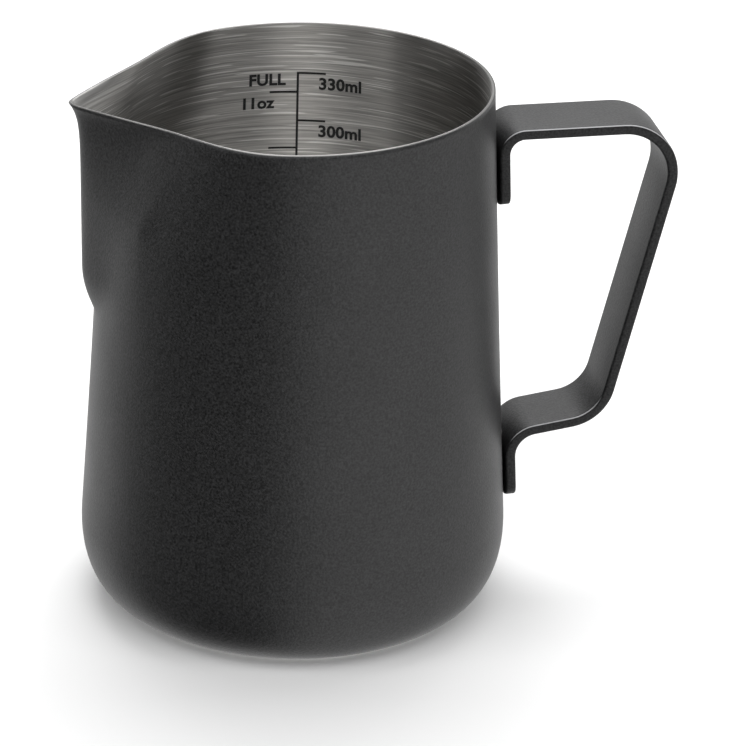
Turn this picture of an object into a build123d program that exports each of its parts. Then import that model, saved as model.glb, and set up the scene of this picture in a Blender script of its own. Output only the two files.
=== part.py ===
from build123d import *
import math
import os

os.makedirs("parts", exist_ok=True)

# Milk frothing pitcher. The origin is on the cup's axis, on the plane that it
# stands on. +Z is up, +X points to the handle and -X to the spout. Millimetres.

# Driving dimensions
HEIGHT = 95.4             # rim height on the cup's axis
RIM_RADIUS = 33.5         # outside of the steel, at the rim
BELLY_RADIUS = 37.8       # outside of the steel, where the wall meets the bottom corner
BELLY_Z = 15.9            # height of that place
CORNER_WIDTH = 10.1       # the bottom corner's reach inwards from the wall
CORNER_FULLNESS = 0.652   # Bezier handle of the corner: 0.552 would be an ellipse
WALL_HOLLOW = 0.14        # how far the wall bows inwards half way up
WALL = 0.6                # steel sheet
COATING = 0.1             # black coating on the outside of the steel
RIM_BARE = 0.2            # bare steel under the rim's edge
FOOT_BARE = 0.5           # bare steel over the standing plane
RIM_SLOPE = 0.018         # the rim rises this much per millimetre towards the handle

# Base
RECESS_RADIUS = 25.0
RECESS_DEPTH = 1.0
RECESS_SLOPE = 1.2

# Spout: a rounded V pressed out of the wall, with flats pressed in beside it
NOSE_REACH = 37.9         # the nose line's distance from the axis, at its foot
NOSE_LEAN = 0.012         # how much the nose line leans out, per millimetre
NOSE_FOOT_Z = 64.0        # under this height the nose curls back into the wall
NOSE_FOOT_CURL = 0.0314
NOSE_ROUND = 1.5          # rounding of the V's edge
FLANK_ANGLE = 27.5        # from the spout's direction to the flank's normal, in degrees
FLANK_TURN_Z = 77.0       # above this height the flanks turn outwards
FLANK_TURN = 0.87         # by this many degrees per millimetre
RIDGE_FALL = 60.0         # how fast the V falls away behind the flank's outer ridge
SPOUT_BLEND = 0.6         # softness of the crease between the flanks and the wall
SPOUT_BASE_Z = 46.0       # the wall is round under this height
LIP_FLARE = 2.2           # the pouring lip's outward curl
LIP_TIP_Z = 94.4
LIP_CURL_HEIGHT = 2.4
LIP_DIP = 0.6             # the rim's own drop at the lip, beyond its slope
DIP_START_X = -18.0
PRESS_DEPTH = 2.9         # how far the flats are pressed in at the rim
PRESS_START_Z = 72.0
PRESS_EDGE = 34.0         # the flats start to fade out at this angle from the spout
PRESS_FADE = 42.0         # and are gone after this many degrees more

# Handle: a flat strap, bent and welded on at both ends
STRAP_WIDTH = 13.2
STRAP_THICKNESS = 1.9
STRAP_EDGE = 0.45
TAB_CORNER = 2.4
WELD_GAP = 0.12           # height of the weld nuggets between the tabs and the steel
UPPER_TAB_END_Z = 73.6
UPPER_BEND_Z = 87.0
GRIP_TOP = (67.85, 87.4)
GRIP_FOOT = (54.7, 32.45)
LOWER_BEND_Z = 29.85
LOWER_TAB_END_Z = 17.35
BEND_RADII = (3.6, 8.9, 8.0, 5.0)
WELD_RADIUS = 2.2
WELD_INSET = 3.4          # from the tab's end to the first weld
WELD_PITCH = 5.2

# Printed scale on the inside of the wall
SCALE_ANGLE = 81.0        # from the handle, in degrees
SCALE_LINE = 0.4
SCALE_INK = 0.05
SCALE_BOTTOM_Z = 20.0
TICK_LENGTH = 5.0
MILLILITRE_TICKS_Z = (85.8, 76.5, 63.3, 50.7, 38.4, 26.5)
OUNCE_TICKS_Z = (82.1, 71.1, 59.9, 45.1, 30.8)

SEAM = 0.02               # the round wall starts this much inside the wall above it
TRIM_TOP_Z = HEIGHT + 4.0
POINTS_PER_SIDE = 26      # of each horizontal section through the spout
SECTION_HEIGHTS = (SPOUT_BASE_Z, 49, 52, 54, 56, 58, 60.5, 64, 69, 75, 81, 86, 90, 93, 95.5, TRIM_TOP_Z)


def wall_radius(z):
    """Outside radius of the round wall, without the spout."""
    up = (z - BELLY_Z) / (HEIGHT - BELLY_Z)
    taper = (RIM_RADIUS - BELLY_RADIUS) * up
    return BELLY_RADIUS + taper - 4 * WALL_HOLLOW * up * (1 - up)


def nose_reach(z):
    """Distance from the axis to the outside of the nose line."""
    reach = NOSE_REACH + NOSE_LEAN * (z - NOSE_FOOT_Z)
    under = max(NOSE_FOOT_Z - z, 0)
    curl = LIP_FLARE * math.exp(min(z - LIP_TIP_Z, 0) / LIP_CURL_HEIGHT)
    return reach - NOSE_FOOT_CURL * under**2 + curl


def spout_radius(angle, z, inset):
    """Outline of the V section, at an angle from the spout's direction."""
    normal = math.radians(FLANK_ANGLE + FLANK_TURN * max(z - FLANK_TURN_Z, 0))
    reach = nose_reach(z)
    flank = reach * math.cos(normal) + NOSE_ROUND * math.sin(normal) - inset
    if angle >= normal:
        return flank - RIDGE_FALL * (angle - normal) ** 2
    rounding = (flank - (reach - inset) * math.cos(normal)) / math.sin(normal)
    across = math.sin(normal) * math.sin(angle)
    along = math.cos(normal) * math.cos(angle)
    square = across**2 - along**2
    middle = flank * along
    last = (math.sin(normal) * rounding) ** 2 - flank**2
    return (-middle + math.sqrt(middle**2 - square * last)) / square


def pressed_radius(angle, z, inset):
    """Outline of the round wall with the flats beside the spout pressed in."""
    rise = max(z - PRESS_START_Z, 0) / (HEIGHT - PRESS_START_Z)
    fade = (math.degrees(angle) - PRESS_EDGE) / PRESS_FADE
    fade = min(max(fade, 0), 1)
    press = PRESS_DEPTH * rise**1.3 * 0.5 * (1 + math.cos(math.pi * fade))
    return wall_radius(z) - inset - press


def cup_radius(angle, z, inset):
    """Outline of the whole cup, at an angle from the spout's direction."""
    spout = spout_radius(angle, z, inset)
    wall = pressed_radius(angle, z, inset)
    return 0.5 * (spout + wall + math.hypot(spout - wall, SPOUT_BLEND))


def outline_points(z, inset):
    """Points of one closed outline, from the handle side round through the spout."""
    half = []
    for step in range(POINTS_PER_SIDE + 1):
        angle = math.pi * (step / POINTS_PER_SIDE) ** 1.5
        radius = cup_radius(angle, z, inset)
        half.append((-radius * math.cos(angle), radius * math.sin(angle)))
    mirrored = [(x, -y) for x, y in half[1:-1]]
    return half[::-1] + mirrored


def solid_cup(inset):
    """The cup as one solid, without its hollow, its faces moved inwards by inset."""
    corner_foot = BELLY_RADIUS - CORNER_WIDTH
    slope = (wall_radius(BELLY_Z + 1) - wall_radius(BELLY_Z - 1)) / 2
    lift = CORNER_FULLNESS * BELLY_Z
    with BuildPart() as cup:
        with BuildSketch(Plane.XZ):
            with BuildLine():
                foot = (corner_foot, inset)
                foot_pull = (corner_foot + CORNER_FULLNESS * CORNER_WIDTH, inset)
                belly = (BELLY_RADIUS - inset, BELLY_Z)
                belly_pull = (BELLY_RADIUS - inset - slope * lift, BELLY_Z - lift)
                corner = Bezier(foot, foot_pull, belly_pull, belly)
                middle_z = (BELLY_Z + SPOUT_BASE_Z) / 2
                middle = (wall_radius(middle_z) - inset, middle_z)
                top = (wall_radius(SPOUT_BASE_Z) - inset - SEAM, SPOUT_BASE_Z)
                wall = ThreePointArc(corner @ 1, middle, top)
                Polyline(wall @ 1, (0, SPOUT_BASE_Z), (0, inset), corner @ 0)
            make_face()
        revolve(axis=Axis.Z)
        with BuildSketch(Plane.XZ):
            with BuildLine():
                floor = RECESS_DEPTH + inset
                edge = RECESS_RADIUS + inset
                Polyline((0, 0), (edge + RECESS_SLOPE, 0), (edge, floor), (0, floor), (0, 0))
            make_face()
        revolve(axis=Axis.Z, mode=Mode.SUBTRACT)
        for z in SECTION_HEIGHTS:
            with BuildSketch(Plane.XY.offset(z)):
                with BuildLine():
                    points = outline_points(z, inset)
                    spacing = [i / len(points) for i in range(len(points) + 1)]
                    add(Edge.make_spline(points, periodic=True, parameters=spacing))
                make_face()
        loft()
    return cup.part


def above_rim(drop):
    """Everything above the rim's edge, lowered by drop."""
    with BuildPart() as waste:
        with BuildSketch(Plane.XZ):
            with BuildLine():
                back = (60, HEIGHT + 60 * RIM_SLOPE - drop)
                start = (DIP_START_X, HEIGHT + DIP_START_X * RIM_SLOPE - drop)
                end_x = -NOSE_REACH - LIP_FLARE - 2
                end = (end_x, HEIGHT + end_x * RIM_SLOPE - LIP_DIP - drop)
                middle_x = (start[0] + end[0]) / 2
                bow = (start[1] + end[1]) / 2 + LIP_DIP / 6
                edge = Line(back, start)
                dip = ThreePointArc(edge @ 1, (middle_x, bow), end)
                high = TRIM_TOP_Z + 5
                Polyline(dip @ 1, (end_x, high), (60, high), edge @ 0)
            make_face()
        extrude(amount=60, both=True)
    return waste.part


def scale_plane():
    """Upright plane on the axis, facing the scale, its x pointing to the handle."""
    turn = math.radians(SCALE_ANGLE)
    handle_side = (math.sin(turn), -math.cos(turn), 0)
    inwards = (-math.cos(turn), -math.sin(turn), 0)
    return Plane(origin=(0, 0, 0), x_dir=handle_side, z_dir=inwards)


steel_outside = solid_cup(0)
hollow = solid_cup(WALL)

# Body: one drawn steel cup with the spout pressed out of its wall
with BuildPart() as body_shell:
    add(steel_outside)
    add(hollow, mode=Mode.SUBTRACT)
    add(above_rim(0), mode=Mode.SUBTRACT)

# Handle: a strap that follows the wall at both ends
tab_offset = WELD_GAP + STRAP_THICKNESS / 2
strap_path = [
    (wall_radius(UPPER_TAB_END_Z) + tab_offset, UPPER_TAB_END_Z),
    (wall_radius(UPPER_BEND_Z) + tab_offset, UPPER_BEND_Z),
    GRIP_TOP,
    GRIP_FOOT,
    (wall_radius(LOWER_BEND_Z) + tab_offset, LOWER_BEND_Z),
    (wall_radius(LOWER_TAB_END_Z) + tab_offset, LOWER_TAB_END_Z),
]
with BuildPart() as handle_strap:
    with BuildSketch(Plane.XZ):
        with BuildLine() as strap_line:
            FilletPolyline(*strap_path, radius=BEND_RADII)
        trace(line_width=STRAP_THICKNESS)
    extrude(amount=STRAP_WIDTH / 2, both=True)
    tab_ends = handle_strap.edges().filter_by(lambda e: abs(e.length - STRAP_THICKNESS) < 0.01)
    fillet(tab_ends, radius=TAB_CORNER)
    sides = handle_strap.faces().filter_by(Axis.Y)
    fillet(sides.edges(), radius=STRAP_EDGE)

# Weld nuggets: two between each tab and the steel
upper_welds_z = [UPPER_TAB_END_Z + WELD_INSET + i * WELD_PITCH for i in range(2)]
lower_welds_z = [LOWER_TAB_END_Z + WELD_INSET + i * WELD_PITCH for i in range(2)]


def weld_nuggets(heights):
    """Short studs that fill the gap between the steel and one tab."""
    with BuildPart() as nuggets:
        for z in heights:
            with BuildSketch(Plane.YZ.offset(wall_radius(z) - WALL / 2)):
                with Locations((0, z)):
                    Circle(WELD_RADIUS)
            extrude(amount=WALL / 2 + WELD_GAP + STRAP_THICKNESS / 2)
        add(steel_outside, mode=Mode.SUBTRACT)
        add(handle_strap.part, mode=Mode.SUBTRACT)
    return nuggets.part


upper_spot_welds = weld_nuggets(upper_welds_z)
lower_spot_welds = weld_nuggets(lower_welds_z)

# Black coating on the outside; the rim's edge and the standing ring stay bare
with BuildPart() as outer_coating:
    add(solid_cup(-COATING))
    add(steel_outside, mode=Mode.SUBTRACT)
    add(above_rim(RIM_BARE), mode=Mode.SUBTRACT)
    with BuildSketch(Plane.XY.offset(-FOOT_BARE)):
        Circle(BELLY_RADIUS)
    extrude(amount=2 * FOOT_BARE, mode=Mode.SUBTRACT)
    add(upper_spot_welds, mode=Mode.SUBTRACT)
    add(lower_spot_welds, mode=Mode.SUBTRACT)

# Printed scale: an upright line with millilitre ticks on one side, ounces on the other
with BuildPart() as volume_scale:
    with BuildSketch(scale_plane()):
        line_length = MILLILITRE_TICKS_Z[0] - SCALE_BOTTOM_Z
        with Locations((0, SCALE_BOTTOM_Z + line_length / 2)):
            Rectangle(SCALE_LINE, line_length + SCALE_LINE)
        with Locations([(TICK_LENGTH / 2, z) for z in MILLILITRE_TICKS_Z]):
            Rectangle(TICK_LENGTH, SCALE_LINE)
        with Locations([(-TICK_LENGTH / 2, z) for z in OUNCE_TICKS_Z]):
            Rectangle(TICK_LENGTH, SCALE_LINE)
    extrude(amount=-BELLY_RADIUS)
    add(hollow, mode=Mode.INTERSECT)
    add(solid_cup(WALL + SCALE_INK), mode=Mode.SUBTRACT)

# Labels and files
upper_spot_welds.label = "upper_spot_welds"
lower_spot_welds.label = "lower_spot_welds"
body_shell.part.label = "body_shell"
handle_strap.part.label = "handle_strap"
outer_coating.part.label = "outer_coating"
volume_scale.part.label = "volume_scale"
pieces = [
    body_shell.part,
    outer_coating.part,
    handle_strap.part,
    upper_spot_welds,
    lower_spot_welds,
    volume_scale.part,
]
for piece in pieces:
    export_step(piece, f"parts/{piece.label}.step")
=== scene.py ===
"""Milk frothing pitcher: the final meshes, materials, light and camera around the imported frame."""

import math

import bmesh
import bpy
from mathutils import Matrix, Vector


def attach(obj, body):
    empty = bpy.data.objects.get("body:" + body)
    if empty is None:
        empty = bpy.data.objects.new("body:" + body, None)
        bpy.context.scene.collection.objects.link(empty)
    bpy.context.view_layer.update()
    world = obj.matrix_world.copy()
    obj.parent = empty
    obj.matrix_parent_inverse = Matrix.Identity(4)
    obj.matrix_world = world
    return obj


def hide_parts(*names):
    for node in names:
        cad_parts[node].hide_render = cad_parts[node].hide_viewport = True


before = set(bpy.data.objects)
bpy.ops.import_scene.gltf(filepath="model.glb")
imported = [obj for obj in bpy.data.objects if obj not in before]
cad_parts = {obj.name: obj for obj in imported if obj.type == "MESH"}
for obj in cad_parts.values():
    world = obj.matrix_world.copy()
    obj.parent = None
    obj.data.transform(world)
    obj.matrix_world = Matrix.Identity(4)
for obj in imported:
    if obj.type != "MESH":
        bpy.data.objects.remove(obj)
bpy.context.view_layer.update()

# The pitcher's own lengths are in millimetres. Materials, floor, lamp and camera are in metres.
MM = 0.001

# ---------------------------------------------------------------- the shape, after the CAD
HEIGHT = 95.4
RIM_RADIUS = 33.5
BELLY_RADIUS = 37.8
BELLY_Z = 15.9
CORNER_WIDTH = 10.1
CORNER_FULLNESS = 0.652
WALL_HOLLOW = 0.14
WALL = 0.6
COATING = 0.1
RIM_SLOPE = 0.018
RECESS_RADIUS = 25.0
RECESS_DEPTH = 1.0
RECESS_SLOPE = 1.2
RECESS_MIDDLE = 0.5 * RECESS_RADIUS
RECESS_SHOULDER = 0.96 * RECESS_RADIUS
RECESS_BEVEL = 0.1         # height of the small bevels at the recess's edges
RECESS_LOW_SHARE = 0.8     # of the slope, where the lower bevel starts
RIM_ROUND = 0.25
FOOT_BARE = 0.5
COATING_OUTER_DROP = 0.12  # the coating's two faces stop this far under the rim
COATING_INNER_DROP = 0.09
SKIN = 0.005               # clear space between the coating and the steel

NOSE_REACH = 37.9
NOSE_LEAN = 0.012
NOSE_FOOT_Z = 64.0
NOSE_FOOT_CURL = 0.0314
NOSE_ROUND = 1.5           # how softly the two flanks meet at the nose
FLANK_ANGLE = 27.5
FLANK_TURN_Z = 77.0
FLANK_TURN = 0.87
RIDGE_FALL = 60.0
SPOUT_BLEND = 0.6
SPOUT_BASE_Z = 46.0
LIP_FLARE = 2.2
LIP_TIP_Z = 94.4
LIP_CURL_HEIGHT = 2.4
LIP_DIP = 0.6
DIP_START_X = -18.0
DIP_BEND = 0.667           # 0 for a straight dip towards the tip, 1 for a fully curved one
DIP_END_ROOM = 2.0         # the dip is complete this far beyond the tip
PRESS_DEPTH = 2.9
PRESS_START_Z = 72.0
PRESS_EDGE = 34.0
PRESS_FADE = 42.0
PRESS_GROWTH = 1.3

STRAP_WIDTH = 13.2
STRAP_THICKNESS = 1.9
STRAP_EDGE = 0.45
TAB_CORNER = 2.4
WELD_GAP = 0.12
UPPER_TAB_END_Z = 73.6
UPPER_BEND_Z = 87.0
GRIP_TOP = (67.85, 87.4)
GRIP_FOOT = (54.7, 32.45)
LOWER_BEND_Z = 29.85
LOWER_TAB_END_Z = 17.35
BEND_RADII = (3.6, 8.9, 8.0, 5.0)

SCALE_ANGLE = 81.0
SCALE_LINE = 0.4
SCALE_BOTTOM_Z = 20.0
SCALE_LIFT = 0.04          # clear space between the wall and the print
TICK_LENGTH = 5.0
MILLILITRE_MARKS = ((85.8, "330ml"), (76.5, "300ml"), (63.3, "250ml"), (50.7, "200ml"),
                    (38.4, "150ml"), (26.5, "100ml"))
OUNCE_MARKS = ((82.1, "11oz"), (71.1, "10oz"), (59.9, "8oz"), (45.1, "6oz"), (30.8, "4oz"))
LETTER_WEIGHT = 0.05
LETTER_SPACING = 1.02
LETTER_HEIGHT_OF_SIZE = 0.69
# Each kind of label: its left edge (or, if negative, its right edge) from the scale's line, its
# baseline from the tick, and the height of its letters
MILLILITRE_LABEL = (3.7, -3.05, 2.15)
OUNCE_LABEL = (-4.2, -3.1, 2.1)
FULL_LABEL = (-2.2, -2.3, 2.1)

# ---------------------------------------------------------------- detail of the meshes
COLUMNS_PER_SIDE = 110     # of the cup's mesh, denser at the spout
EVEN_SHARE = 0.35          # of the columns' spacing; the rest is crowded to the spout
CROWDING = 1.8
WALL_ROWS = 64
ROUND_WALL_ROWS = 8
CORNER_ROWS = 20
RIM_STEPS = 6
BEND_STEPS = 18
RUN_STEP = 1.2
TAB_STEPS = 10
TAB_ROOM = 1.1             # the path's own points start beyond this many corner lengths
SECTION_STEPS = 4
BAR_STEP_ACROSS = 0.6      # sizes of the print's faces, so that it follows the wall
BAR_STEP_UP = 1.5
RIM_ROUNDS = 4             # enough to find the rim's height


def wall_radius(z):
    """Radius of the round wall's outside, a straight taper drawn in a little at mid height."""
    up = (z - BELLY_Z) / (HEIGHT - BELLY_Z)
    taper = (RIM_RADIUS - BELLY_RADIUS) * up
    return BELLY_RADIUS + taper - 4 * WALL_HOLLOW * up * (1 - up)


def nose_reach(z):
    """How far the spout's nose stands from the axis, curled out at the lip."""
    reach = NOSE_REACH + NOSE_LEAN * (z - NOSE_FOOT_Z)
    under = max(NOSE_FOOT_Z - z, 0)
    curl = LIP_FLARE * math.exp(min(z - LIP_TIP_Z, 0) / LIP_CURL_HEIGHT)
    return reach - NOSE_FOOT_CURL * under**2 + curl


def spout_radius(angle, z, inset):
    """Outline of the V section, at an angle from the spout's direction."""
    normal = math.radians(FLANK_ANGLE + FLANK_TURN * max(z - FLANK_TURN_Z, 0))
    reach = nose_reach(z)
    flank = reach * math.cos(normal) + NOSE_ROUND * math.sin(normal) - inset
    if angle >= normal:
        return flank - RIDGE_FALL * (angle - normal) ** 2
    rounding = (flank - (reach - inset) * math.cos(normal)) / math.sin(normal)
    across = math.sin(normal) * math.sin(angle)
    along = math.cos(normal) * math.cos(angle)
    square = across**2 - along**2
    middle = flank * along
    last = (math.sin(normal) * rounding) ** 2 - flank**2
    return (-middle + math.sqrt(middle**2 - square * last)) / square


def pressed_radius(angle, z, inset):
    """Outline of the round wall with the flats beside the spout pressed in."""
    rise = max(z - PRESS_START_Z, 0) / (HEIGHT - PRESS_START_Z)
    fade = (math.degrees(angle) - PRESS_EDGE) / PRESS_FADE
    fade = min(max(fade, 0), 1)
    press = PRESS_DEPTH * rise**PRESS_GROWTH * 0.5 * (1 + math.cos(math.pi * fade))
    return wall_radius(z) - inset - press


def cup_radius(angle, z, inset):
    """Outline of the whole cup at one height, at an angle from the spout's direction."""
    angle = abs(angle)
    spout = spout_radius(angle, z, inset)
    wall = pressed_radius(angle, z, inset)
    return 0.5 * (spout + wall + math.hypot(spout - wall, SPOUT_BLEND))


def rim_height(x):
    """Height of the rim's edge over a place along the X axis."""
    along = (DIP_START_X - x) / (DIP_START_X + NOSE_REACH + LIP_FLARE + DIP_END_ROOM)
    along = max(along, 0)
    dip = LIP_DIP * along * (1 - DIP_BEND * (1 - along))
    return HEIGHT + RIM_SLOPE * x - dip


def cup_point(angle, z, inset):
    """A place on the cup's side, moved inwards by inset."""
    radius = cup_radius(angle, z, inset)
    return Vector((-radius * math.cos(angle), radius * math.sin(angle), z))


def rim_top(angle, inset):
    """Height at which the wall meets the rim's edge, at an angle from the spout."""
    top = HEIGHT
    for _ in range(RIM_ROUNDS):
        top = rim_height(cup_point(angle, top, inset).x)
    return top


def column_angles():
    """Angles of the mesh's columns, all round, closest together at the spout's nose."""
    shares = [i / COLUMNS_PER_SIDE for i in range(1, COLUMNS_PER_SIDE + 1)]
    side = [math.pi * (EVEN_SHARE * t + (1 - EVEN_SHARE) * t**CROWDING) for t in shares]
    return [0.0] + side + [-a for a in side[-2::-1]]


ANGLES = column_angles()


def wall_ring(share, inset, drop=0.0):
    """A ring on the wall, at a share of the way from the round part up to the rim."""
    ring = []
    for angle in ANGLES:
        top = rim_top(angle, inset) - drop
        ring.append(cup_point(angle, SPOUT_BASE_Z + share * (top - SPOUT_BASE_Z), inset))
    return ring


def round_ring(radius, z):
    """A circular ring with the same columns as the wall's."""
    return [Vector((-radius * math.cos(a), radius * math.sin(a), z)) for a in ANGLES]


def bezier(points, t):
    """A place on a cubic curve with four control points."""
    a, b, c, d = points
    u = 1 - t
    return a * u**3 + b * 3 * u * u * t + c * 3 * u * t * t + d * t**3


def corner_rings(inset, lowest=None):
    """Rings of the bottom corner, from the foot up to the belly."""
    slope = (wall_radius(BELLY_Z + 1) - wall_radius(BELLY_Z - 1)) / 2
    lift = CORNER_FULLNESS * BELLY_Z
    corner_foot = BELLY_RADIUS - CORNER_WIDTH
    points = (
        Vector((corner_foot, inset)),
        Vector((corner_foot + CORNER_FULLNESS * CORNER_WIDTH, inset)),
        Vector((BELLY_RADIUS - inset - slope * lift, BELLY_Z - lift)),
        Vector((BELLY_RADIUS - inset, BELLY_Z)),
    )
    places = [bezier(points, i / CORNER_ROWS) for i in range(CORNER_ROWS + 1)]
    if lowest is not None:
        places = [p for p in places if p.y > lowest]
    return [round_ring(p.x, p.y) for p in places]


def round_wall_rings(inset):
    """Rings between the belly and the foot of the spout."""
    shares = [i / ROUND_WALL_ROWS for i in range(1, ROUND_WALL_ROWS)]
    heights = [BELLY_Z + (SPOUT_BASE_Z - BELLY_Z) * share for share in shares]
    return [round_ring(wall_radius(z) - inset, z) for z in heights]


def side_rings(inset, top_drop, lowest=None):
    """Rings from the foot to just under the rim."""
    rings = corner_rings(inset, lowest) + round_wall_rings(inset)
    shares = [i / WALL_ROWS for i in range(WALL_ROWS + 1)]
    return rings + [wall_ring(s, inset, top_drop) for s in shares]


def edge_rings(inner, outer, height):
    """Rings of a rounded edge that joins two insets over the top."""
    middle = (inner + outer) / 2
    half = (inner - outer) / 2
    rings = []
    for i in range(1, RIM_STEPS):
        turn = math.pi * i / RIM_STEPS
        inset = middle + half * math.cos(turn)
        rise = height * (math.sin(turn) - 1)
        rings.append([cup_point(a, rim_top(a, inset) + rise, inset) for a in ANGLES])
    return rings


def add_object(name, data):
    """A new object, in the scene."""
    obj = bpy.data.objects.new(name, data)
    bpy.context.scene.collection.objects.link(obj)
    return obj


def stitch(work, low, high):
    """Faces between two rings of vertices."""
    for i in range(len(low)):
        j = (i + 1) % len(low)
        work.faces.new((low[i], low[j], high[j], high[i]))


def close_end(work, ring, place):
    """A fan of faces from a ring of vertices to a place in its middle."""
    centre = work.verts.new(place * MM)
    for i in range(len(ring)):
        work.faces.new((ring[i], ring[(i + 1) % len(ring)], centre))


def put_mesh(name, rings, closed=False, cap_start=None, cap_end=None):
    """A smooth object from rings of points in millimetres, joined one to the next."""
    work = bmesh.new()
    made = [[work.verts.new(p * MM) for p in ring] for ring in rings]
    pairs = list(zip(made, made[1:]))
    if closed:
        pairs.append((made[-1], made[0]))
    for low, high in pairs:
        stitch(work, low, high)
    for place, ring in ((cap_start, made[0]), (cap_end, made[-1])):
        if place is not None:
            close_end(work, ring, place)
    bmesh.ops.recalc_face_normals(work, faces=work.faces)
    for face in work.faces:
        face.smooth = True
    mesh = bpy.data.meshes.new(name)
    work.to_mesh(mesh)
    work.free()
    return add_object(name, mesh)


# ---------------------------------------------------------------- materials
NOISE_RANGE = (0.3, 0.7)           # where most of a noise texture's values are
COAT_GRAIN = 2600
COAT_CLOUD = 60
COAT_BLUE = 1.03                   # the black is a trace blue
COAT_ROUGHNESS = (0.43, 0.49)
COAT_RELIEF = (0.5, 0.0001)        # strength, and depth
# Painted highlight along the strap's rounded upper edges: a lighter coating colour in place of a
# reflection, and the normal's ranges that shape its band
EDGE_HIGHLIGHT_COAT = (0.42, 0.42, 0.43)
EDGE_HIGHLIGHT_INNER = (0.4, 0.6)            # the band rises, then falls, as the normal turns sideways
EDGE_HIGHLIGHT_OUTER = (0.9, 0.8)
EDGE_HIGHLIGHT_UPWARD = (0.3, 0.6)
PLAIN_GRAIN = 1500
ROUGHNESS_SPREAD = 0.05
BRUSH_LINES = (1.3, 1.3, 3200)     # noise scales: round the cup, and finely across the lines
FINE_LINES = (3.0, 3.0, 5200)
SCRATCH_LINES = (2.6, 2.6, 3400)
SCRATCH_RANGE = (0.66, 0.72)
STEEL_ROUGHNESS = (0.33, 0.39)
STEEL_RELIEF = (1.0, 0.00004)
STEEL_SHINE = (-0.2, 1.0)          # share of the lighter colour
STEEL_DARK = (0.36, 0.354, 0.344)
STEEL_LIGHT = (0.75, 0.735, 0.71)
STEEL_SCRATCH = (0.86, 0.85, 0.83)
# painted shade: a darker steel colour for the rim's upward faces, to dim them
STEEL_PAINTED_SHADE = (0.2, 0.197, 0.192)
FLOOR_BRUSHING_Z = (0.020, 0.006)  # below these heights the brushing follows the floor's circles
RIM_SHADE_Z = (0.080, 0.085)        # above these heights an upward face on the rim gets painted shade
RIM_SHADE_UPWARD = (0.1, 0.4)


def new_material(name):
    """A material with its nodes, its links and its shader."""
    material = bpy.data.materials.new(name)
    material.use_nodes = True
    nodes = material.node_tree.nodes
    return material, nodes, material.node_tree.links, nodes["Principled BSDF"]


def noise(nodes, links, coords, scale, detail=2.0, stretch=None):
    """A noise texture, optionally stretched."""
    texture = nodes.new("ShaderNodeTexNoise")
    texture.inputs["Scale"].default_value = scale
    texture.inputs["Detail"].default_value = detail
    if stretch is None:
        links.new(coords, texture.inputs["Vector"])
        return texture.outputs["Fac"]
    mapping = nodes.new("ShaderNodeMapping")
    mapping.inputs["Scale"].default_value = stretch
    links.new(coords, mapping.inputs["Vector"])
    links.new(mapping.outputs["Vector"], texture.inputs["Vector"])
    return texture.outputs["Fac"]


def remap(nodes, links, value, low, high):
    """A noise value spread over low to high."""
    spread = nodes.new("ShaderNodeMapRange")
    spread.inputs["From Min"].default_value = NOISE_RANGE[0]
    spread.inputs["From Max"].default_value = NOISE_RANGE[1]
    spread.inputs["To Min"].default_value = low
    spread.inputs["To Max"].default_value = high
    links.new(value, spread.inputs["Value"])
    return spread.outputs["Result"]


def combine(nodes, links, operation, first, second):
    """Arithmetic on two values, each a socket or a number."""
    node = nodes.new("ShaderNodeMath")
    node.operation = operation
    for socket, value in zip(node.inputs, (first, second)):
        if isinstance(value, float):
            socket.default_value = value
        else:
            links.new(value, socket)
    return node.outputs["Value"]


def soft_step(nodes, links, value, start, full):
    """A soft rise from 0 at start to 1 at full, which may be the smaller."""
    step = nodes.new("ShaderNodeMapRange")
    step.interpolation_type = "SMOOTHSTEP"
    step.inputs["From Min"].default_value = start
    step.inputs["From Max"].default_value = full
    links.new(value, step.inputs["Value"])
    return step.outputs["Result"]


def blend_colours(nodes, links, factor, first, second):
    """A blend of two colours, each a socket or red, green and blue."""
    mix = nodes.new("ShaderNodeMix")
    mix.data_type = "RGBA"
    for socket, colour in (("A", first), ("B", second)):
        if isinstance(colour, tuple):
            mix.inputs[socket].default_value = (*colour, 1)
        else:
            links.new(colour, mix.inputs[socket])
    links.new(factor, mix.inputs["Factor"])
    return mix.outputs["Result"]


def add_bump(nodes, links, shader, height, relief):
    """Fine relief on a shader, of a strength and a depth."""
    bump = nodes.new("ShaderNodeBump")
    bump.inputs["Strength"].default_value = relief[0]
    bump.inputs["Distance"].default_value = relief[1]
    links.new(height, bump.inputs["Height"])
    links.new(bump.outputs["Normal"], shader.inputs["Normal"])


def parts_of(nodes, links, vector):
    """The X, Y and Z of a vector."""
    split = nodes.new("ShaderNodeSeparateXYZ")
    links.new(vector, split.inputs["Vector"])
    return [split.outputs[axis] for axis in "XYZ"]


def vector_of(nodes, links, *parts):
    """A vector from its X, its Y and, where given, its Z."""
    joined = nodes.new("ShaderNodeCombineXYZ")
    for axis, part in zip("XYZ", parts):
        links.new(part, joined.inputs[axis])
    return joined.outputs["Vector"]


def vector_maths(nodes, links, operation, vector):
    """A vector node with its first input linked."""
    node = nodes.new("ShaderNodeVectorMath")
    node.operation = operation
    links.new(vector, node.inputs[0])
    return node


def surface_normal(nodes, links):
    """The X, Y and Z of the surface's direction."""
    return parts_of(nodes, links, nodes.new("ShaderNodeNewGeometry").outputs["Normal"])


def edge_highlight_mask(nodes, links):
    """Painted highlight: a mask on the strap's rounded upper edges, which face partly up and partly
    sideways, where a lighter colour stands in for a reflection.
    """
    _, sideways, upward = surface_normal(nodes, links)
    size = nodes.new("ShaderNodeMath")
    size.operation = "ABSOLUTE"
    links.new(sideways, size.inputs[0])
    side = size.outputs["Value"]
    inner = soft_step(nodes, links, side, *EDGE_HIGHLIGHT_INNER)
    outer = soft_step(nodes, links, side, *EDGE_HIGHLIGHT_OUTER)
    band = combine(nodes, links, "MULTIPLY", inner, outer)
    return combine(nodes, links, "MULTIPLY", band, soft_step(nodes, links, upward, *EDGE_HIGHLIGHT_UPWARD))


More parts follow.
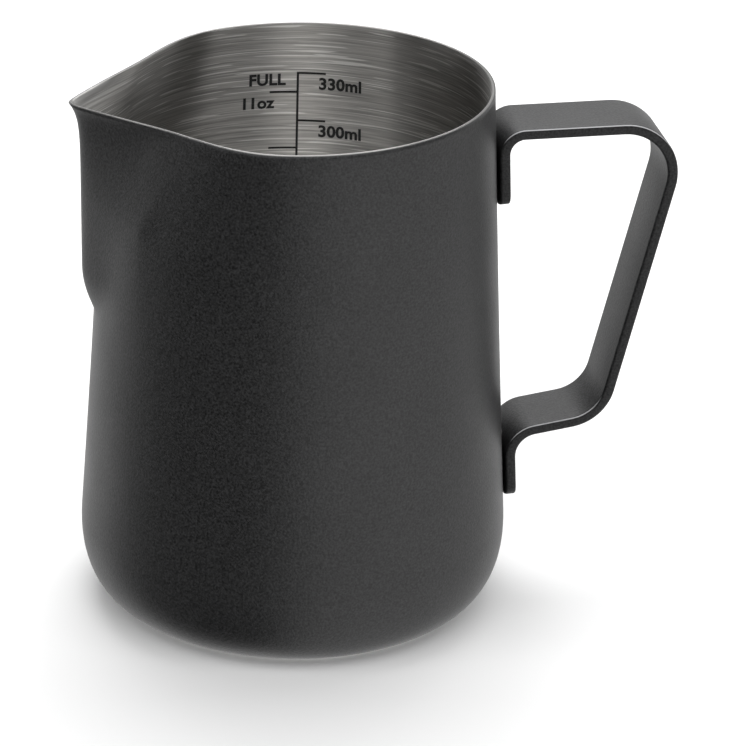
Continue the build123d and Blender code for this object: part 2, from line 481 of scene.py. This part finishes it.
def coating_material(name, dark, light, sheen, painted_highlight=False):
    """Matte black coating with a fine sprayed grain, and, where asked, a painted highlight on
    rounded upper edges.
    """
    material, nodes, links, shader = new_material(name)
    coords = nodes.new("ShaderNodeTexCoord").outputs["Object"]
    grain = noise(nodes, links, coords, COAT_GRAIN, 3.0)
    cloud = noise(nodes, links, coords, COAT_CLOUD, 2.0)
    speckle = remap(nodes, links, grain, 0.0, 1.0)
    colours = [(tone, tone, COAT_BLUE * tone) for tone in (dark, light)]
    coat = blend_colours(nodes, links, speckle, *colours)
    # painted highlight: a lighter colour on the strap's upper edge band
    if painted_highlight:
        coat = blend_colours(nodes, links, edge_highlight_mask(nodes, links), coat, EDGE_HIGHLIGHT_COAT)
    links.new(coat, shader.inputs["Base Color"])
    links.new(remap(nodes, links, cloud, *COAT_ROUGHNESS), shader.inputs["Roughness"])
    shader.inputs["Specular IOR Level"].default_value = sheen
    add_bump(nodes, links, shader, grain, COAT_RELIEF)
    return material


def brushing_coords(nodes, links, x, y, z):
    """Coordinates that follow circles round the axis, up the wall and across the cup's floor."""
    flat = vector_of(nodes, links, x, y)
    facing = vector_maths(nodes, links, "NORMALIZE", flat).outputs["Vector"]
    radius = vector_maths(nodes, links, "LENGTH", flat).outputs["Value"]
    low = soft_step(nodes, links, z, *FLOOR_BRUSHING_Z)
    along = combine(nodes, links, "ADD", z, combine(nodes, links, "MULTIPLY", radius, low))
    facing_x, facing_y, _ = parts_of(nodes, links, facing)
    return vector_of(nodes, links, facing_x, facing_y, along)


def steel_colour(nodes, links, around, lines):
    """Fine brush lines, with some bright scratches."""
    fine = noise(nodes, links, around, 1.0, 2.0, stretch=FINE_LINES)
    long = noise(nodes, links, around, 1.0, 0.0, stretch=SCRATCH_LINES)
    both = combine(nodes, links, "ADD", lines, fine)
    shine = remap(nodes, links, combine(nodes, links, "MULTIPLY", both, 0.5), *STEEL_SHINE)
    scratch = soft_step(nodes, links, long, *SCRATCH_RANGE)
    plain = blend_colours(nodes, links, shine, STEEL_DARK, STEEL_LIGHT)
    return blend_colours(nodes, links, scratch, plain, STEEL_SCRATCH)


def rim_top_shade(nodes, links, z):
    """Painted shade: a mask on the upward faces along the rim, where a darker steel colour dims
    them.
    """
    upward = surface_normal(nodes, links)[2]
    facing_up = soft_step(nodes, links, upward, *RIM_SHADE_UPWARD)
    return combine(nodes, links, "MULTIPLY", facing_up, soft_step(nodes, links, z, *RIM_SHADE_Z))


def brushed_material(name):
    """Stainless steel, brushed round the inside of the cup."""
    material, nodes, links, shader = new_material(name)
    x, y, z = parts_of(nodes, links, nodes.new("ShaderNodeTexCoord").outputs["Object"])
    around = brushing_coords(nodes, links, x, y, z)
    lines = noise(nodes, links, around, 1.0, 3.0, stretch=BRUSH_LINES)
    brushed = steel_colour(nodes, links, around, lines)
    # painted shade darkens the rim's upward faces
    rim_shaded = blend_colours(nodes, links, rim_top_shade(nodes, links, z), brushed, STEEL_PAINTED_SHADE)
    links.new(rim_shaded, shader.inputs["Base Color"])
    shader.inputs["Metallic"].default_value = 1.0
    links.new(remap(nodes, links, lines, *STEEL_ROUGHNESS), shader.inputs["Roughness"])
    tangent = nodes.new("ShaderNodeTangent")
    tangent.direction_type = "RADIAL"
    tangent.axis = "Z"
    links.new(tangent.outputs["Tangent"], shader.inputs["Tangent"])
    shader.inputs["Anisotropic"].default_value = 0.97
    shader.inputs["Anisotropic Rotation"].default_value = 0.25  # a quarter turn
    add_bump(nodes, links, shader, lines, STEEL_RELIEF)
    return material


def plain_material(name, colour, roughness):
    """An even, matt material."""
    material, nodes, links, shader = new_material(name)
    coords = nodes.new("ShaderNodeTexCoord").outputs["Object"]
    grain = noise(nodes, links, coords, PLAIN_GRAIN, 2.0)
    shader.inputs["Base Color"].default_value = (*colour, 1)
    rough = remap(nodes, links, grain, roughness - ROUGHNESS_SPREAD, roughness + ROUGHNESS_SPREAD)
    links.new(rough, shader.inputs["Roughness"])
    return material


COAT = coating_material("black_coating", 0.003, 0.028, 0.48)
# the handle's coating has the painted highlight on its upper edges
HANDLE_COAT = coating_material("handle_coating", 0.004, 0.03, 0.23, painted_highlight=True)
STEEL = brushed_material("brushed_steel")
INK = plain_material("printed_ink", (0.015, 0.015, 0.016), 0.55)
WELD = plain_material("coated_weld", (0.018, 0.018, 0.019), 0.5)


def finish_piece(obj, material, slot, *nodes):
    """Gives a piece its material, and stands it in for its nodes of the frame. The slot is not used.
    """
    obj.data.materials.clear()
    obj.data.materials.append(material)
    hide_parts(*nodes)
    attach(obj, "root")


# ---------------------------------------------------------------- the steel cup
def make_steel_cup():
    """The bare cup: its floor and inside, over the rim, and down to the recess under the base."""
    floor = RECESS_DEPTH + WALL
    inside = [
        round_ring(RECESS_MIDDLE, floor),
        round_ring(RECESS_SHOULDER + WALL, floor),
        round_ring(RECESS_RADIUS + WALL, floor - RECESS_BEVEL),
        round_ring(RECESS_RADIUS + WALL + RECESS_LOW_SHARE * RECESS_SLOPE, WALL + RECESS_BEVEL),
        round_ring(RECESS_RADIUS + WALL + RECESS_SLOPE, WALL),
    ]
    outside = [
        round_ring(RECESS_RADIUS + RECESS_SLOPE, 0),
        round_ring(RECESS_RADIUS + RECESS_LOW_SHARE * RECESS_SLOPE, RECESS_BEVEL),
        round_ring(RECESS_RADIUS, RECESS_DEPTH - RECESS_BEVEL),
        round_ring(RECESS_SHOULDER, RECESS_DEPTH),
        round_ring(RECESS_MIDDLE, RECESS_DEPTH),
    ]
    up = side_rings(WALL, RIM_ROUND)
    over = edge_rings(WALL, 0.0, RIM_ROUND)
    down = side_rings(0.0, RIM_ROUND)[::-1]
    cup = put_mesh("steel_cup", inside + up + over + down + outside,
                   cap_start=Vector((0, 0, floor)), cap_end=Vector((0, 0, RECESS_DEPTH)))
    finish_piece(cup, STEEL, "bare_steel", "body_shell")


def make_coating():
    """The black coating round the cup, and in the recess under its base."""
    outer = side_rings(-COATING, COATING_OUTER_DROP, lowest=FOOT_BARE)
    inner = side_rings(-SKIN, COATING_INNER_DROP, lowest=FOOT_BARE)
    coat = put_mesh("cup_coating", outer + inner[::-1], closed=True)
    end_radius = RECESS_RADIUS + RECESS_SLOPE * (1 - FOOT_BARE / RECESS_DEPTH)
    recess_outer = [
        round_ring(end_radius - COATING, FOOT_BARE),
        round_ring(RECESS_RADIUS - COATING, RECESS_DEPTH - RECESS_BEVEL - COATING),
        round_ring(RECESS_SHOULDER - COATING, RECESS_DEPTH - COATING),
        round_ring(RECESS_MIDDLE, RECESS_DEPTH - COATING),
    ]
    recess_inner = [
        round_ring(RECESS_MIDDLE, RECESS_DEPTH - SKIN),
        round_ring(RECESS_SHOULDER, RECESS_DEPTH - SKIN),
        round_ring(RECESS_RADIUS - SKIN, RECESS_DEPTH - RECESS_BEVEL),
        round_ring(end_radius - SKIN, FOOT_BARE),
    ]
    base = put_mesh("base_coating", recess_inner + recess_outer,
                    cap_start=Vector((0, 0, RECESS_DEPTH - SKIN)),
                    cap_end=Vector((0, 0, RECESS_DEPTH - COATING)))
    finish_piece(coat, COAT, "black_coating", "outer_coating")
    finish_piece(base, COAT, "black_coating", "outer_coating")


# ---------------------------------------------------------------- the strap handle
def strap_corners():
    """The corners of the strap's middle line before they are rounded, in the XZ plane."""
    offset = WELD_GAP + STRAP_THICKNESS / 2
    return [
        Vector((wall_radius(UPPER_TAB_END_Z) + offset, UPPER_TAB_END_Z)),
        Vector((wall_radius(UPPER_BEND_Z) + offset, UPPER_BEND_Z)),
        Vector(GRIP_TOP),
        Vector(GRIP_FOOT),
        Vector((wall_radius(LOWER_BEND_Z) + offset, LOWER_BEND_Z)),
        Vector((wall_radius(LOWER_TAB_END_Z) + offset, LOWER_TAB_END_Z)),
    ]


def arc_points(centre, start, turn):
    """Points round an arc, without its end."""
    spoke = start - centre
    turns = [turn * i / BEND_STEPS for i in range(BEND_STEPS)]
    return [centre + Matrix.Rotation(angle, 2) @ spoke for angle in turns]


def run_points(start, end):
    """Points along a straight run, without its end."""
    count = max(int((end - start).length / RUN_STEP), 1)
    return [start.lerp(end, i / count) for i in range(count)]


def filleted_path(corners, radii):
    """Points along straight runs joined by arcs, in the XZ plane."""
    points = []
    start = corners[0]
    for before, corner, after, radius in zip(corners, corners[1:], corners[2:], radii):
        inward = (corner - before).normalized()
        outward = (after - corner).normalized()
        turn = inward.angle_signed(outward)
        cut = radius * math.tan(abs(turn) / 2)
        side = 1 if turn > 0 else -1
        arc_start = corner - inward * cut
        normal = Vector((-inward.y, inward.x))
        centre = arc_start - normal * radius * side
        points += run_points(start, arc_start)
        points += arc_points(centre, arc_start, -turn)
        start = corner + outward * cut
    return points + run_points(start, corners[-1]) + [corners[-1]]


def tab_end_points(start, towards, reach):
    """Points from a tab's end inwards, closest together at the end."""
    way = (towards - start).normalized()
    turns = [math.pi / 2 * i / TAB_STEPS for i in range(TAB_STEPS + 1)]
    return [start + way * reach * (1 - math.cos(turn)) for turn in turns]


def end_samples(points, reach):
    """The path with closer points within reach of both ends, for the rounded tab corners."""
    first = tab_end_points(points[0], points[1], reach)
    last = tab_end_points(points[-1], points[-2], reach)
    room = reach * TAB_ROOM
    middle = [p for p in points
              if (p - points[0]).length > room and (p - points[-1]).length > room]
    return first + middle + last[::-1]


def strap_section(half_width, half_thickness, edge):
    """A rounded rectangle: across the strap, and through its thickness."""
    section = []
    for sx, sy, start in ((1, 1, 0), (-1, 1, 90), (-1, -1, 180), (1, -1, 270)):
        centre = Vector((sx * (half_width - edge), sy * (half_thickness - edge)))
        for i in range(SECTION_STEPS + 1):
            turn = math.radians(start + 90 * i / SECTION_STEPS)
            section.append(centre + edge * Vector((math.cos(turn), math.sin(turn))))
    return section


def make_strap():
    """The strap handle, its section swept along its path and narrowed at the tabs' ends."""
    path = end_samples(filleted_path(strap_corners(), BEND_RADII), TAB_CORNER)
    rings = []
    for i, place in enumerate(path):
        along = (path[min(i + 1, len(path) - 1)] - path[max(i - 1, 0)]).normalized()
        normal = Vector((-along.y, along.x))
        from_end = min((place - path[0]).length, (place - path[-1]).length)
        short = max(TAB_CORNER - from_end, 0)
        half = STRAP_WIDTH / 2 - TAB_CORNER + math.sqrt(max(TAB_CORNER**2 - short**2, 0))
        section = strap_section(half, STRAP_THICKNESS / 2, STRAP_EDGE)
        rings.append([
            Vector((place.x + normal.x * through, across, place.y + normal.y * through))
            for across, through in section
        ])
    middle_start = Vector((path[0].x, 0, path[0].y))
    middle_end = Vector((path[-1].x, 0, path[-1].y))
    strap = put_mesh("strap_handle", rings, cap_start=middle_start, cap_end=middle_end)
    finish_piece(strap, HANDLE_COAT, "handle_coating", "handle_strap")


# ---------------------------------------------------------------- the printed scale
def on_inner_wall(across, z):
    """A place on the inside of the wall, across being towards the handle from the scale's line."""
    around = math.radians(180 - SCALE_ANGLE) + across / (RIM_RADIUS - WALL)
    radius = cup_radius(around, z, WALL) - SCALE_LIFT
    return Vector((-radius * math.cos(around), radius * math.sin(around), z))


def bar_on_wall(work, left, right, low, high):
    """A thin printed bar laid on the wall."""
    columns = max(int((right - left) / BAR_STEP_ACROSS), 1)
    rows = max(int((high - low) / BAR_STEP_UP), 1)
    across = [left + (right - left) * i / columns for i in range(columns + 1)]
    heights = [low + (high - low) * j / rows for j in range(rows + 1)]
    grid = [[work.verts.new(on_inner_wall(x, z) * MM) for x in across] for z in heights]
    for j in range(rows):
        for i in range(columns):
            work.faces.new((grid[j][i], grid[j][i + 1], grid[j + 1][i + 1], grid[j + 1][i]))


def label_on_wall(work, words, tick_z, layout):
    """Letters laid on the wall beside a tick."""
    edge, rise, height = layout
    curve = bpy.data.curves.new("label", "FONT")
    curve.body = words
    curve.size = height / LETTER_HEIGHT_OF_SIZE
    curve.offset = LETTER_WEIGHT * height
    curve.space_character = LETTER_SPACING
    curve.resolution_u = 4
    curve.align_x = "RIGHT" if edge < 0 else "LEFT"
    holder = bpy.data.objects.new("label", curve)
    flat = bpy.data.meshes.new_from_object(holder)
    letters = bmesh.new()
    letters.from_mesh(flat)
    bmesh.ops.triangulate(letters, faces=letters.faces)
    made = {}
    for vertex in letters.verts:
        place = on_inner_wall(edge + vertex.co.x, tick_z + rise + vertex.co.y)
        made[vertex.index] = work.verts.new(place * MM)
    for face in letters.faces:
        work.faces.new([made[v.index] for v in face.verts])
    letters.free()
    bpy.data.objects.remove(holder)
    bpy.data.curves.remove(curve)
    bpy.data.meshes.remove(flat)


def make_scale():
    """The volume scale: one line, its ticks and its labels."""
    work = bmesh.new()
    half = SCALE_LINE / 2
    full_z = MILLILITRE_MARKS[0][0]
    bar_on_wall(work, -half, half, SCALE_BOTTOM_Z, full_z + half)
    for z, words in MILLILITRE_MARKS:
        bar_on_wall(work, half, TICK_LENGTH, z - half, z + half)
        label_on_wall(work, words, z, MILLILITRE_LABEL)
    for z, words in OUNCE_MARKS:
        bar_on_wall(work, -TICK_LENGTH, -half, z - half, z + half)
        label_on_wall(work, words, z, OUNCE_LABEL)
    label_on_wall(work, "FULL", full_z, FULL_LABEL)
    mesh = bpy.data.meshes.new("printed_scale")
    work.to_mesh(mesh)
    work.free()
    finish_piece(add_object("printed_scale", mesh), INK, "scale_ink", "volume_scale")


def coat_welds():
    """The weld nuggets keep the frame's own shapes, coated like the rest."""
    for name in ("upper_spot_welds", "lower_spot_welds"):
        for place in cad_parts[name].material_slots:
            place.material = WELD


make_steel_cup()
make_coating()
make_strap()
make_scale()
coat_welds()


# ---------------------------------------------------------------- floor, light and camera
FLOOR_SIZE = 12            # metres
FLOOR_TONE = (0.68, 0.68, 0.68, 1)
FLOOR_GLOW = 0.145


def make_floor():
    """A plain pale floor, with a little glow of its own to soften the shadow."""
    bpy.ops.mesh.primitive_plane_add(size=FLOOR_SIZE, location=(0, 0, 0))
    floor = bpy.context.object
    floor.name = "studio_floor"
    material, _, _, shader = new_material("floor")
    shader.inputs["Base Color"].default_value = FLOOR_TONE
    shader.inputs["Roughness"].default_value = 0.9
    shader.inputs["Specular IOR Level"].default_value = 0.1
    shader.inputs["Emission Color"].default_value = (1, 1, 1, 1)
    shader.inputs["Emission Strength"].default_value = FLOOR_GLOW
    floor.data.materials.append(material)
    floor.visible_glossy = False


LAMP_PLACE = Vector((0.08, 0.43, 0.9))
LAMP_SIZE = 0.8
LAMP_POWER = 11.0


def make_lamp():
    """A soft square lamp above and behind the pitcher, aimed at its foot."""
    data = bpy.data.lights.new("overhead", "AREA")
    data.shape = "SQUARE"
    data.size = LAMP_SIZE
    data.energy = LAMP_POWER
    light = add_object("overhead", data)
    light.location = LAMP_PLACE
    light.rotation_euler = (-LAMP_PLACE).to_track_quat("-Z", "Y").to_euler()


# Glowing parts of the studio round the pitcher: middle azimuth from +X, half width, softness,
# lowest and highest elevation, all in degrees, and the glow
STUDIO = (
    (26, 124, 6, -95, 2, 0.92),      # the pale ground, unlit to the front left
    (-62, 40, 12, -95, 2, 0.35),     # and brighter to the front right
    (95, 50, 15, -95, 2, 0.25),      # and behind
    (167, 14, 5, -16, 8, 0.65),      # a dim strip low on the left
    (-101, 79, 4, 35, 78, 2.3),      # high softbox in front, for the inside of the cup
    (62, 53, 10, 4, 50, 1.15),       # back wall
)
ROOM_GLOW = 0.06
BOTTOM_SOFTNESS = 4  # degrees
TOP_SOFTNESS = 5


def glow_patch(nodes, links, level, rise, patch):
    """One glowing part of the studio, with soft edges."""
    azimuth, half, soft, low, high, glow = patch
    towards = math.radians(azimuth)
    facing = vector_maths(nodes, links, "DOT_PRODUCT", level)
    facing.inputs[1].default_value = (math.cos(towards), math.sin(towards), 0)
    edges = [math.cos(math.radians(half + s)) for s in (soft, -soft)]
    across = soft_step(nodes, links, facing.outputs["Value"], *edges)
    top = [math.sin(math.radians(high + s)) for s in (TOP_SOFTNESS, -TOP_SOFTNESS)]
    shape = combine(nodes, links, "MULTIPLY", across, soft_step(nodes, links, rise, *top))
    if low > -90:
        bottom = [math.sin(math.radians(low + s)) for s in (-BOTTOM_SOFTNESS, BOTTOM_SOFTNESS)]
        shape = combine(nodes, links, "MULTIPLY", shape, soft_step(nodes, links, rise, *bottom))
    return combine(nodes, links, "MULTIPLY", shape, glow)


def make_world():
    """The studio round the pitcher: a white backdrop, and glowing parts for the reflections."""
    world = bpy.data.worlds.new("studio")
    bpy.context.scene.world = world
    world.use_nodes = True
    nodes, links = world.node_tree.nodes, world.node_tree.links
    direction = nodes.new("ShaderNodeTexCoord").outputs["Generated"]
    x, y, rise = parts_of(nodes, links, direction)
    flat = vector_of(nodes, links, x, y)
    level = vector_maths(nodes, links, "NORMALIZE", flat).outputs["Vector"]
    total = ROOM_GLOW
    for patch in STUDIO:
        glow = glow_patch(nodes, links, level, rise, patch)
        total = combine(nodes, links, "ADD", glow, total)
    seen = nodes.new("ShaderNodeMix")
    links.new(nodes.new("ShaderNodeLightPath").outputs["Is Camera Ray"], seen.inputs["Factor"])
    links.new(total, seen.inputs["A"])
    seen.inputs["B"].default_value = 1.0
    links.new(seen.outputs["Result"], nodes["Background"].inputs["Strength"])
    nodes["Background"].inputs["Color"].default_value = (1, 1, 1, 1)


CAMERA_AZIMUTH = -11.16
CAMERA_ELEVATION = 23.87
CAMERA_DISTANCE = 0.743
CAMERA_ROLL = 1.56
CAMERA_TARGET = Vector((0.0135, -0.0027, 0.0417))
CAMERA_LENS = 201.9
SENSOR = 36.0


def make_camera():
    """The camera, placed by its direction and distance from the target, with a slight roll."""
    azimuth = math.radians(CAMERA_AZIMUTH)
    elevation = math.radians(CAMERA_ELEVATION)
    back = Vector((math.sin(azimuth) * math.cos(elevation),
                   -math.cos(azimuth) * math.cos(elevation), math.sin(elevation)))
    level = Vector((math.cos(azimuth), math.sin(azimuth), 0))
    upright = back.cross(level)
    roll = math.radians(CAMERA_ROLL)
    right = level * math.cos(roll) + upright * math.sin(roll)
    up = back.cross(right)
    data = bpy.data.cameras.new("camera")
    data.lens = CAMERA_LENS
    data.sensor_width = SENSOR
    data.clip_start = 0.01
    camera = add_object("camera", data)
    place = CAMERA_TARGET + back * CAMERA_DISTANCE
    turn = Matrix((right, up, back)).transposed().to_4x4()
    camera.matrix_world = Matrix.Translation(place) @ turn
    bpy.context.scene.camera = camera


make_floor()
make_world()
make_lamp()
make_camera()
bpy.context.scene.view_settings.view_transform = "Standard"
